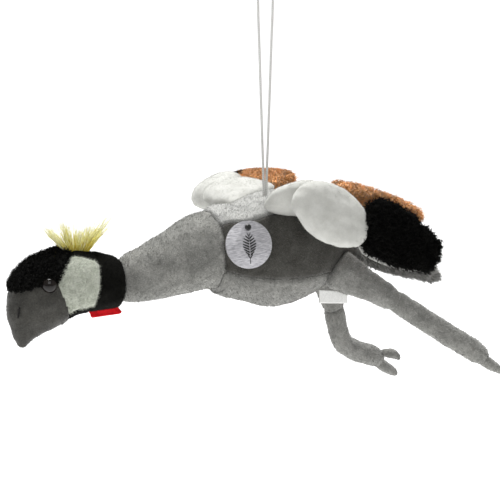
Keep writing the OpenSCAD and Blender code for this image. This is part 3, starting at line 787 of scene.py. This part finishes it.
# ---- Throat and crest ----
def wattle():
    """Red felt sewn edge-on under the throat: a flat drop shape with a soft, worn edge."""
    corners = [(-149, -82, 2.5), (-147, -86, 2.5), (-125.5, -86, 2), (-128.5, -82, 2)]
    ring = []
    for (x, z, r), start in zip(corners, (90, 170, 275, 0)):
        for a in np.radians(np.linspace(start, start + 85, 10)):
            ring.append((x + r * math.cos(a), z + r * math.sin(a)))
    ring = np.array(ring)
    middle = ring.mean(0)
    order = np.argsort(np.arctan2(ring[:, 1] - middle[1], ring[:, 0] - middle[0]))
    ring = ring[order]
    rows = []
    for y, k in ((-0.75, 0.35), (-0.85, 0.7), (-0.8, 0.9), (-0.4, 0.99), (0.4, 0.99), (0.8, 0.9), (0.85, 0.7),
                 (0.75, 0.35)):
        at = middle + (ring - middle) * k
        rows.append(np.stack([at[:, 0], np.full(len(at), y), at[:, 1]], -1))
    p = np.array(rows)
    bend = 0.9 * np.sin((p[..., 0] + 149) / 26 * 3.1)
    p[..., 1] += bend + wobble(p, 6, 81) * 0.2
    o = patch("wattle_felt", p, None, True, felt, ends=True)
    attach(o, "head", ["wattle"])
    reds = shades("felt_fuzz", (0.74, 0.008, 0.014), 0.3, sheen=0.0)
    normal = unit(p - np.array([middle[0], 0, middle[1]]))
    nap("wattle_fuzz", p, normal, True, reds, "head", density=4, length=1.1, width=0.22, lean=0.2,
        seed=82)


def crest():
    """A fan of soft straight fibre, yellow at the root and paler at the tips."""
    count = 620
    r = np.random.default_rng(91)
    a = r.uniform(-1, 1, count)
    root = np.stack([-160 + a * 9, r.uniform(-3.4, 3.4, count), np.full(count, -33.5)], -1)
    wisps = np.array([(-0.85, 23), (-0.28, 28), (0.15, 20), (0.5, 21), (0.9, 27)])
    own = wisps[np.clip(((a + 1) * 2.5 + r.normal(size=count) * 0.35).astype(int), 0, 4)]
    way = unit(np.stack([own[:, 0] + r.normal(size=count) * 0.10 - a * 0.1,
                         root[:, 1] * 0.04 + r.normal(size=count) * 0.08, np.ones(count)], -1))
    size = own[:, 1] * r.uniform(0.45, 1.0, count) * np.sqrt(1 + own[:, 0] ** 2) * 0.95
    t = np.linspace(0, 1, 9)
    side = unit(np.cross(way, r.normal(size=(count, 3))))
    other = np.cross(way, side)
    bow = r.normal(size=count) * 1.5
    line = (root[:, None] + way[:, None] * (size[:, None] * t)[..., None]
            + side[:, None] * (bow[:, None] * t**2)[..., None]
            + other[:, None] * (0.5 * np.sin(t * 7 + r.uniform(0, 6, (count, 1))) * t)[..., None])
    thick = 0.38 * (1 - 0.8 * t[None]**1.5) * r.uniform(0.7, 1.2, (count, 1))
    seg = np.broadcast_to(np.arange(8.0)[None, :, None], (count, 8, 3))
    tone = np.clip(seg * 0.5 + r.normal(size=count)[:, None, None] * 0.8, 0, 3.99).astype(int)
    yellows = [fibre_material(f"crest_fibre_{i}", c, 0.55, 0.4) for i, c in enumerate(
        ((0.70, 0.56, 0.06), (0.82, 0.74, 0.16), (0.88, 0.84, 0.34), (0.90, 0.88, 0.62)))]
    points = (lock_points(line, side, other, thick) + BACK) * MM
    o = make_mesh("crest_fibres", points, lock_faces(count, 8), yellows, tone.ravel())
    attach(o, "head", ["crest_tuft"])


def nostril_thread():
    """A satin stitch on each side: the same few turns of thread over and over."""
    turns, around = 22, 10
    rows = []
    skin = BVHTree.FromObject(bpy.data.objects["face_cloth"], bpy.context.evaluated_depsgraph_get())
    for side in (-1, 1):
        t = np.linspace(0, 1, turns)[:, None]
        a = np.radians(np.linspace(0, 360, around, endpoint=False))
        centre = np.hstack([-208 + 1.9 * t, np.full_like(t, side * 7.5), -78 + 8.8 * t])
        way = Vector((-0.6, side * 0.8, 0.1)).normalized()
        for q in centre:
            hit = skin.ray_cast(Vector(metres(q)) + way * 0.05, -way)
            if hit[0] is not None:
                q[:] = np.array(hit[0] + way * 0.0012) / MM - BACK
        thick = 0.8 * np.sqrt(np.clip(1 - (2 * t - 1) ** 8, 0.05, 1)) * (1 + 0.1 * np.sin(t * 62))
        rows.append(centre[:, None] + np.stack([np.cos(a), np.sin(a), 0 * a], -1)[None] * thick[..., None])
    f = grid_faces(turns, around, True)
    points = np.vstack([r.reshape(-1, 3) for r in rows])
    o = make_mesh("nostril_thread", (points + BACK) * MM, np.vstack([f, f + turns * around]), [thread])
    attach(o, "head", ["nostril_stitches"])


wattle()
crest()
nostril_thread()


# ---- Tail ----
TAIL = [[91, 0, -65, 11, 6], [105, 0, -70, 17, 6.5], [128, 0, -78, 19, 6], [148, 0, -85, 16, 5.5],
        [156, 0, -88, 11, 5]]


def fluff(name, p, materials, rider, count, length, lean, radius=0.4, curl=0.7, turns=1.0, seed=1):
    """Long pile all over a closed grid."""
    q, n, along = scatter(p, normals_of(p), True, count, None, seed)
    return shag(name, q, n, along * lean, materials, rider, length, radius, curl, turns, 6, seed + 1)


tail_turn = ("torso", "tail", [84, 0, -65], [105, 0, -70])
tail_grid = sleeve("tail_cloth", TAIL, [0, 1, 0], "tail", tail_turn,
                   ["tail_cover", "tail_fill"], 110, 6, 5, seed=9, length=2.4)
fluff("tail_fluff", tail_grid, grey_nap["tail"], tail_turn, 2600, 5.0, 1.1, 0.3, 0.6, 1.0,
      seed=10)

# ---- Legs ----
HIP, SHIN = 25, 18.6  # the width of a thigh and of a lower leg, in mm
# For each side: thigh, lower leg, front and hind toe, and the start and end points given for the hip and for
# the knee
LEGS = {
    "left": ([[54, -24, -66, 16, 17], [66, -28.5, -73.5, 14.2, 14.5],
              [82, -31.5, -83.25, 0.465 * HIP, 0.465 * HIP],
              [96.3, -33.6, -92.2, 0.52 * SHIN, 0.52 * SHIN], [101, -34, -95.1, 0.5 * SHIN, 0.5 * SHIN]],
             [[99, -33.8, -93.9, 0.47 * SHIN, 0.47 * SHIN], [103.8, -34.1, -97.1, 0.49 * SHIN, 0.49 * SHIN],
              [120, -34.5, -108.5, 0.49 * SHIN, 0.49 * SHIN], [150, -35.5, -129.5, 0.5 * SHIN, 0.5 * SHIN],
              [174, -36, -146, 0.5 * SHIN, 0.5 * SHIN], [184, -36, -153, 0.42 * SHIN, 0.44 * SHIN]],
             [[[184, -36, -155.5, 6.2, 5.6], [196, -36, -164, 6, 5.2], [204, -36, -169.5, 4.4, 4]],
              [[181, -29, -146.5, 4.2, 4], [190, -27.5, -152, 4.2, 3.8], [195, -27, -155.5, 3, 3]]],
             ([64, -29, -72], [80, -31, -82]), ([93, -33, -90], [107, -34.3, -99])),
    "right": ([[63, 26, -66, 15, 15], [67, 28, -78, 13.4, 13.4], [71.5, 28, -95, 0.465 * HIP, 0.465 * HIP],
               [75.9, 28, -111.3, 0.52 * SHIN, 0.52 * SHIN], [77, 28, -116, 0.5 * SHIN, 0.5 * SHIN]],
              [[76.6, 28, -114.5, 0.47 * SHIN, 0.47 * SHIN], [78.2, 28.5, -119.8, 0.49 * SHIN, 0.49 * SHIN],
               [81, 30, -132, 0.47 * SHIN, 0.47 * SHIN], [88, 34, -148, 0.47 * SHIN, 0.47 * SHIN],
               [105, 42, -161, 0.49 * SHIN, 0.49 * SHIN], [124, 49, -170, 0.5 * SHIN, 0.5 * SHIN],
               [132, 51, -175, 0.42 * SHIN, 0.44 * SHIN]],
              [[[133, 52.5, -178.5, 6.2, 5.6], [145, 55, -187.5, 6, 5.2], [152, 56, -192.5, 4.4, 4]],
               [[134, 45, -168, 5, 4.4], [142, 43, -169.5, 5.4, 5], [147, 42, -173, 4, 4]]],
              ([66, 28, -74], [70.5, 28, -92]), ([75, 28, -108], [78.5, 28.6, -122])),
}


def legs():
    for i, (side, (thigh, shin, toes, hip_turn, knee_turn)) in enumerate(LEGS.items()):
        s = 100 + i * 20
        sleeve(f"{side}_thigh_cloth", thigh, [0, 1, 0], "pale",
               ("torso", f"{side}_thigh", *hip_turn),
               [f"{side}_thigh_cover", f"{side}_thigh_fill"], 72, 8, 2, seed=s, step=1.1, tuck=[(-2, 0.8)])
        sleeve(f"{side}_shin_cloth", shin, [0, 1, 0], "neck" if i == 0 else "pale",
               (f"{side}_thigh", f"{side}_shin", *knee_turn),
               [f"{side}_shin_cover", f"{side}_shin_fill"], 66, 2, 5, seed=s + 4, step=1.1, lumps=0.5,
               tuck=[(4, 0.7)])
        for k, toe in enumerate(toes):
            sleeve(f"{side}_{('front', 'hind')[k]}_toe_cloth", toe, [0, 1, 0], "neck" if i == 0 else "pale",
                   f"{side}_shin", [f"{side}_toes"] if k == 0 else [], 44, 3, 4, seed=s + 8 + k,
                   step=0.9, lumps=0.3, length=1.3)


legs()

# ---- Wings ----
WING_T, FUR_T = 20, 9  # how thick the white pieces and the fur panels are, in mm
# Each plan has [along, across, half width, half thickness], in mm, in the frame of its own panel
COVERTS = [[0, 0, 15, 0.42 * WING_T], [12, 0, 21, 0.52 * WING_T], [28, 0, 23.5, 0.55 * WING_T],
           [44, 0, 21, 0.5 * WING_T], [57, 0, 14, 0.35 * WING_T]]
PRIMARIES = [[0, 4, 18, 0.45 * FUR_T], [10, 4, 23.5, 0.5 * FUR_T], [30, 3, 24, 0.5 * FUR_T],
             [54, 1, 19, 0.5 * FUR_T], [68, 0, 14, 0.4 * FUR_T]]
SECONDARIES = [[0, 0, 9, 0.45 * FUR_T], [20, 0, 13, 0.5 * FUR_T], [50, 0, 13, 0.5 * FUR_T],
               [74, 0, 9, 0.4 * FUR_T]]
# The near root is bigger than its stuffing. The far root is moved towards the head and made longer.
ROOT = {"left": [[-4, 15, 31, 6.5], [4, 17, 31, 8.5], [13, 19, 28, 9], [21, 21, 22, 7.5]],
        "right": [[-3, -1, 26, 7], [8, -2, 28, 9.5], [20, -5, 27, 11], [32, -9, 23, 10]]}
PRIMARY_SHAPE = {"left": (0.90, 2.0), "right": (0.78, -3.5)}  # of its width, and how far across it is moved
COVERTS_PLUMP = {"left": 1.0, "right": 1.18}  # of their thickness
FRAMES = {
    "left": {"shoulder": ([0, -26, -9], [0, -0.6, 0.8], [1, 0, 0]),
             "coverts": ([7, -57, 5], [0.84, -0.03, -0.54], [0.5, 0.25, 0.83]),
             "primaries": ([60, -58, -25], [0.89, 0.02, -0.45], [0.45, 0.2, 0.87]),
             "secondaries": ([46, -35, 3], [0.91, 0, -0.38], [0.2, -0.8, 0.55]),
             "under": [0, 0.97, -0.2]},
    "right": {"shoulder": ([0, 26, -9], [-0.3, 0.95, -0.05], [0.95, 0.25, 0.12]),
              "coverts": ([-17, 60, -12], [0.4, 0.89, -0.2], [0.78, -0.3, 0.42]),
              "primaries": ([13, 104, -19], [0.38, 0.88, -0.25], [0.8, -0.28, 0.42]),
              "secondaries": ([34, 38, -3], [-0.02, 0.98, -0.17], [1, -0.1, 0.1]),
              "under": [0.1, -0.3, -0.93]},
}


def in_frame(place, plan):
    start, along, across = (np.asarray(v, float) for v in place)
    u, v = unit(along), unit(across)
    return [[*(start + u * a + v * b), w, h] for a, b, w, h in plan], v


def wing_covers(side, places, s):
    """The white root, and the white lobe at the wing's fold."""
    wing, tip = f"{side}_wing", f"{side}_wingtip"
    stations, v = in_frame(places["shoulder"], ROOT[side])
    sleeve(f"{side}_shoulder_cloth", stations, v, "", wing,
           [f"{side}_shoulder_cover", f"{side}_shoulder_fill"], 110, 7, 6, seed=s, material=white,
           naps=white_nap, density=1.0, length=1.2, lumps=0.9, swell=2.2)
    plump = COVERTS_PLUMP[side]
    stations, v = in_frame(places["coverts"], [[a, b, w, h * plump] for a, b, w, h in COVERTS])
    u = unit(np.asarray(places["coverts"][1], float))
    start = np.asarray(places["coverts"][0], float)
    turn = (wing, tip, list(start - u * 9), list(start + u * 12))
    sleeve(f"{side}_coverts_cloth", stations, v, "", turn,
           [f"{side}_coverts_cover", f"{side}_coverts_fill"], 110, 9, 8, seed=s + 5, material=white,
           naps=white_nap, density=1.0, length=1.2, lumps=1.1, swell=2.6)


def primaries(side, places, s):
    """The black shaggy panel at the wing's tip."""
    tip = f"{side}_wingtip"
    narrow, shift = PRIMARY_SHAPE[side]
    stations, v = in_frame(places["primaries"], [[a, b + shift, w * narrow, h] for a, b, w, h in PRIMARIES])
    p = Tube(stations, v, 1.4, 5, 6).grid(96)
    p = p + normals_of(p) * (wobble(p, 14, s + 9) * 0.8)[..., None]
    o = patch(f"{side}_primaries_backing", p, None, True, black, ends=True)
    attach(o, tip, [f"{side}_primaries"])
    fluff(f"{side}_primaries_fur", p, black_fur, tip, 5600, 5.2, 0.7, 0.6, 1.0, 1.5,
          seed=s + 10)


def lining(side, places, s):
    """The pale cloth behind the black panel."""
    under = unit(np.asarray(places["under"], float))
    stations, v = in_frame(places["primaries"], [[a, b, w - 1.5, 0.8] for a, b, w, _ in PRIMARIES])
    p = Tube(stations, v, 1.4, 4, 4).grid(60, np.linspace(0, 180, 60)) + under * (FUR_T / 2 + 1.4)
    p = p + under * (wobble(p, 16, s + 12) * 0.5)[..., None]
    o = patch(f"{side}_lining_cloth", p, None, False, white)
    attach(o, f"{side}_wingtip", [f"{side}_lining"])


def secondaries(side, places, s):
    """The brown curly panel next to the body."""
    wing = f"{side}_wing"
    stations, v = in_frame(places["secondaries"], SECONDARIES)
    p = Tube(stations, v, 1.3, 5, 6).grid(70)
    p = p + normals_of(p) * (wobble(p, 12, s + 15) * 0.7)[..., None]
    o = patch(f"{side}_secondaries_backing", p, None, True, brown, ends=True)
    attach(o, wing, [f"{side}_secondaries"])
    fluff(f"{side}_secondaries_fur", p, brown_fur, wing, 5200, 4.6, 0.3, 0.6, 1.2, 1.8,
          seed=s + 16)


def wings():
    for i, (side, places) in enumerate(FRAMES.items()):
        for make in (wing_covers, primaries, lining, secondaries):
            make(side, places, 200 + i * 40)


wings()


# ---- Badge, label and rivet ----
def facing(place, way):
    w = unit(way)
    m = (Matrix.Rotation(math.atan2(w[1], w[0]), 4, "Z") @ Matrix.Rotation(math.acos(w[2]), 4, "Y"))
    return Matrix.Translation(Vector(metres(place))) @ m


def badge():
    """Brushed tin with a plain feather pressed into it; the mark is a generic one."""
    m, tree, p = nodes_of("badge_brushed_tin")
    streak = noise_node(tree, 240, 3, 0.6, (1, 0.08, 12))
    tone = ramp(tree, streak, (0.30, 0.30, 0.33), (0.88, 0.87, 0.90), 0.3, 0.62)
    tree.links.new(tone, p.inputs["Base Color"])
    p.inputs["Metallic"].default_value = 0.85
    p.inputs["Roughness"].default_value = 0.34
    bumped(tree, p, streak, 0.25, 0.0002)
    paint("badge_shell", m)
    b = moulded_material("badge_back_tin", [0.16] * 3, [0.30] * 3, 200, 0.45, 0.9)
    paint("badge_back", b)
    k = moulded_material("rivet_black", [0.008] * 3, [0.02] * 3, 400, 0.4)
    paint("badge_rivet", k)

    crown, radius = 3.6, 112.5  # how high the face's middle stands, and its curve, in mm

    def dome(x, y):
        return crown - radius + math.sqrt(radius**2 - x * x - y * y) + 0.02

    at = facing([-31, -36.8, -33], [-0.12, -0.95, 0.28])
    points, faces = [], []
    for way in (-1, 1):
        for j in range(9):
            t = j / 8
            x, reach = 11 - 17 * t, 5.4 * math.sin(math.pi * (0.12 + 0.8 * t))
            n = len(points)
            shape = ((x, 0.35), (x - 1.5, 0.35), (x - 3.6, reach), (x - 2.6, reach))
            points += [(a, c * way, dome(a, c) + 0.18) for a, c in shape]
            faces.append([n, n + 1, n + 2, n + 3][::way])
    n = len(points)
    points += [(a, c, dome(a, c) + 0.22) for a, c in ((15, -0.25), (15, 0.25), (-8, 0.12), (-8, -0.12))]
    faces.append([n, n + 1, n + 2, n + 3])
    o = make_mesh("badge_feather", np.array(points) * MM, faces, [k], smooth=False)
    thick = o.modifiers.new("thick", "SOLIDIFY")
    thick.thickness, thick.offset = 0.0003, 0
    o.data.transform(at)
    attach(o, "badge")
    # The badge's rolled edge, in the dark back tin all round, so that it also stands for the shadow under the
    # badge's edge: painted shadow.
    rim = lathe("badge_shadow_rim", [(18.75 - 0.8 + 0.8 * math.cos(a), 1.0 + 0.8 * math.sin(a))
                              for a in np.linspace(-1.2, 1.75, 12)], b, 96)
    rim.data.transform(at)
    attach(rim, "badge")


def care_label():
    """A folded satin loop: down from the seam, round the fold and up again, with no print."""
    lo, hi = (np.array(c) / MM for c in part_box("care_label"))
    t = np.linspace(0, 1, 40)
    drop = 10.2
    z = np.where(t < 0.47, -drop * t / 0.47, np.where(t > 0.53, -drop * (1 - t) / 0.47, -drop))
    arc = np.clip((t - 0.47) / 0.06, 0, 1)
    y = -0.62 * np.cos(arc * math.pi)
    z = z - 0.62 * np.sin(arc * math.pi)
    x = np.linspace(-12.6, 12.6, 30)
    p = np.stack([np.repeat(x[None], 40, 0), np.repeat(y[:, None], 30, 1), np.repeat(z[:, None], 30, 1)], -1)
    p[..., 1] += 0.35 * np.sin(p[..., 0] * 0.25)
    p[..., 2] += (hi[2] + lo[2]) / 2 + 5 - BACK[2] - p[..., 0] * math.tan(math.radians(8))
    p[..., 0] += (hi[0] + lo[0]) / 2
    p[..., 1] += (hi[1] + lo[1]) / 2
    o = patch("care_label_satin", p, None, False, satin)
    attach(o, "torso", ["care_label"])


badge()
care_label()


# ---- Floor and light ----
def stage():
    m, tree, p = nodes_of("studio_floor")
    tree.links.new(ramp(tree, noise_node(tree, 3, 2), [0.93] * 3, [0.95] * 3), p.inputs["Base Color"])
    p.inputs["Roughness"].default_value = 0.9
    p.inputs["Emission Color"].default_value = (1, 1, 1, 1)
    p.inputs["Emission Strength"].default_value = 0.85
    half, z = 60, -0.75
    corners = [(-half, -half, z), (half, -half, z), (half, half, z), (-half, half, z)]
    floor = make_mesh("floor", corners, [[0, 1, 2, 3]], [m])
    world = bpy.data.worlds.new("studio")
    world.use_nodes = True
    world.node_tree.nodes["Background"].inputs["Color"].default_value = (1, 1, 1, 1)
    world.node_tree.nodes["Background"].inputs["Strength"].default_value = 0.30
    bpy.context.scene.world = world
    lamps = (("front", (-0.5, -1.1, 0.9), 5, 0.9), ("top", (0.0, 0.45, 1.35), 47, 1.0))
    for name, place, power, size in lamps:
        light = bpy.data.lights.new(name, "AREA")
        light.energy, light.size = power, size
        o = bpy.data.objects.new(name, light)
        o.location = place
        o.rotation_euler = (Vector((0, 0, -0.2)) - Vector(place)).to_track_quat("-Z", "Y").to_euler()
        bpy.context.collection.objects.link(o)
    bpy.context.scene.view_settings.view_transform = "Standard"


stage()

bpy.context.view_layer.update()
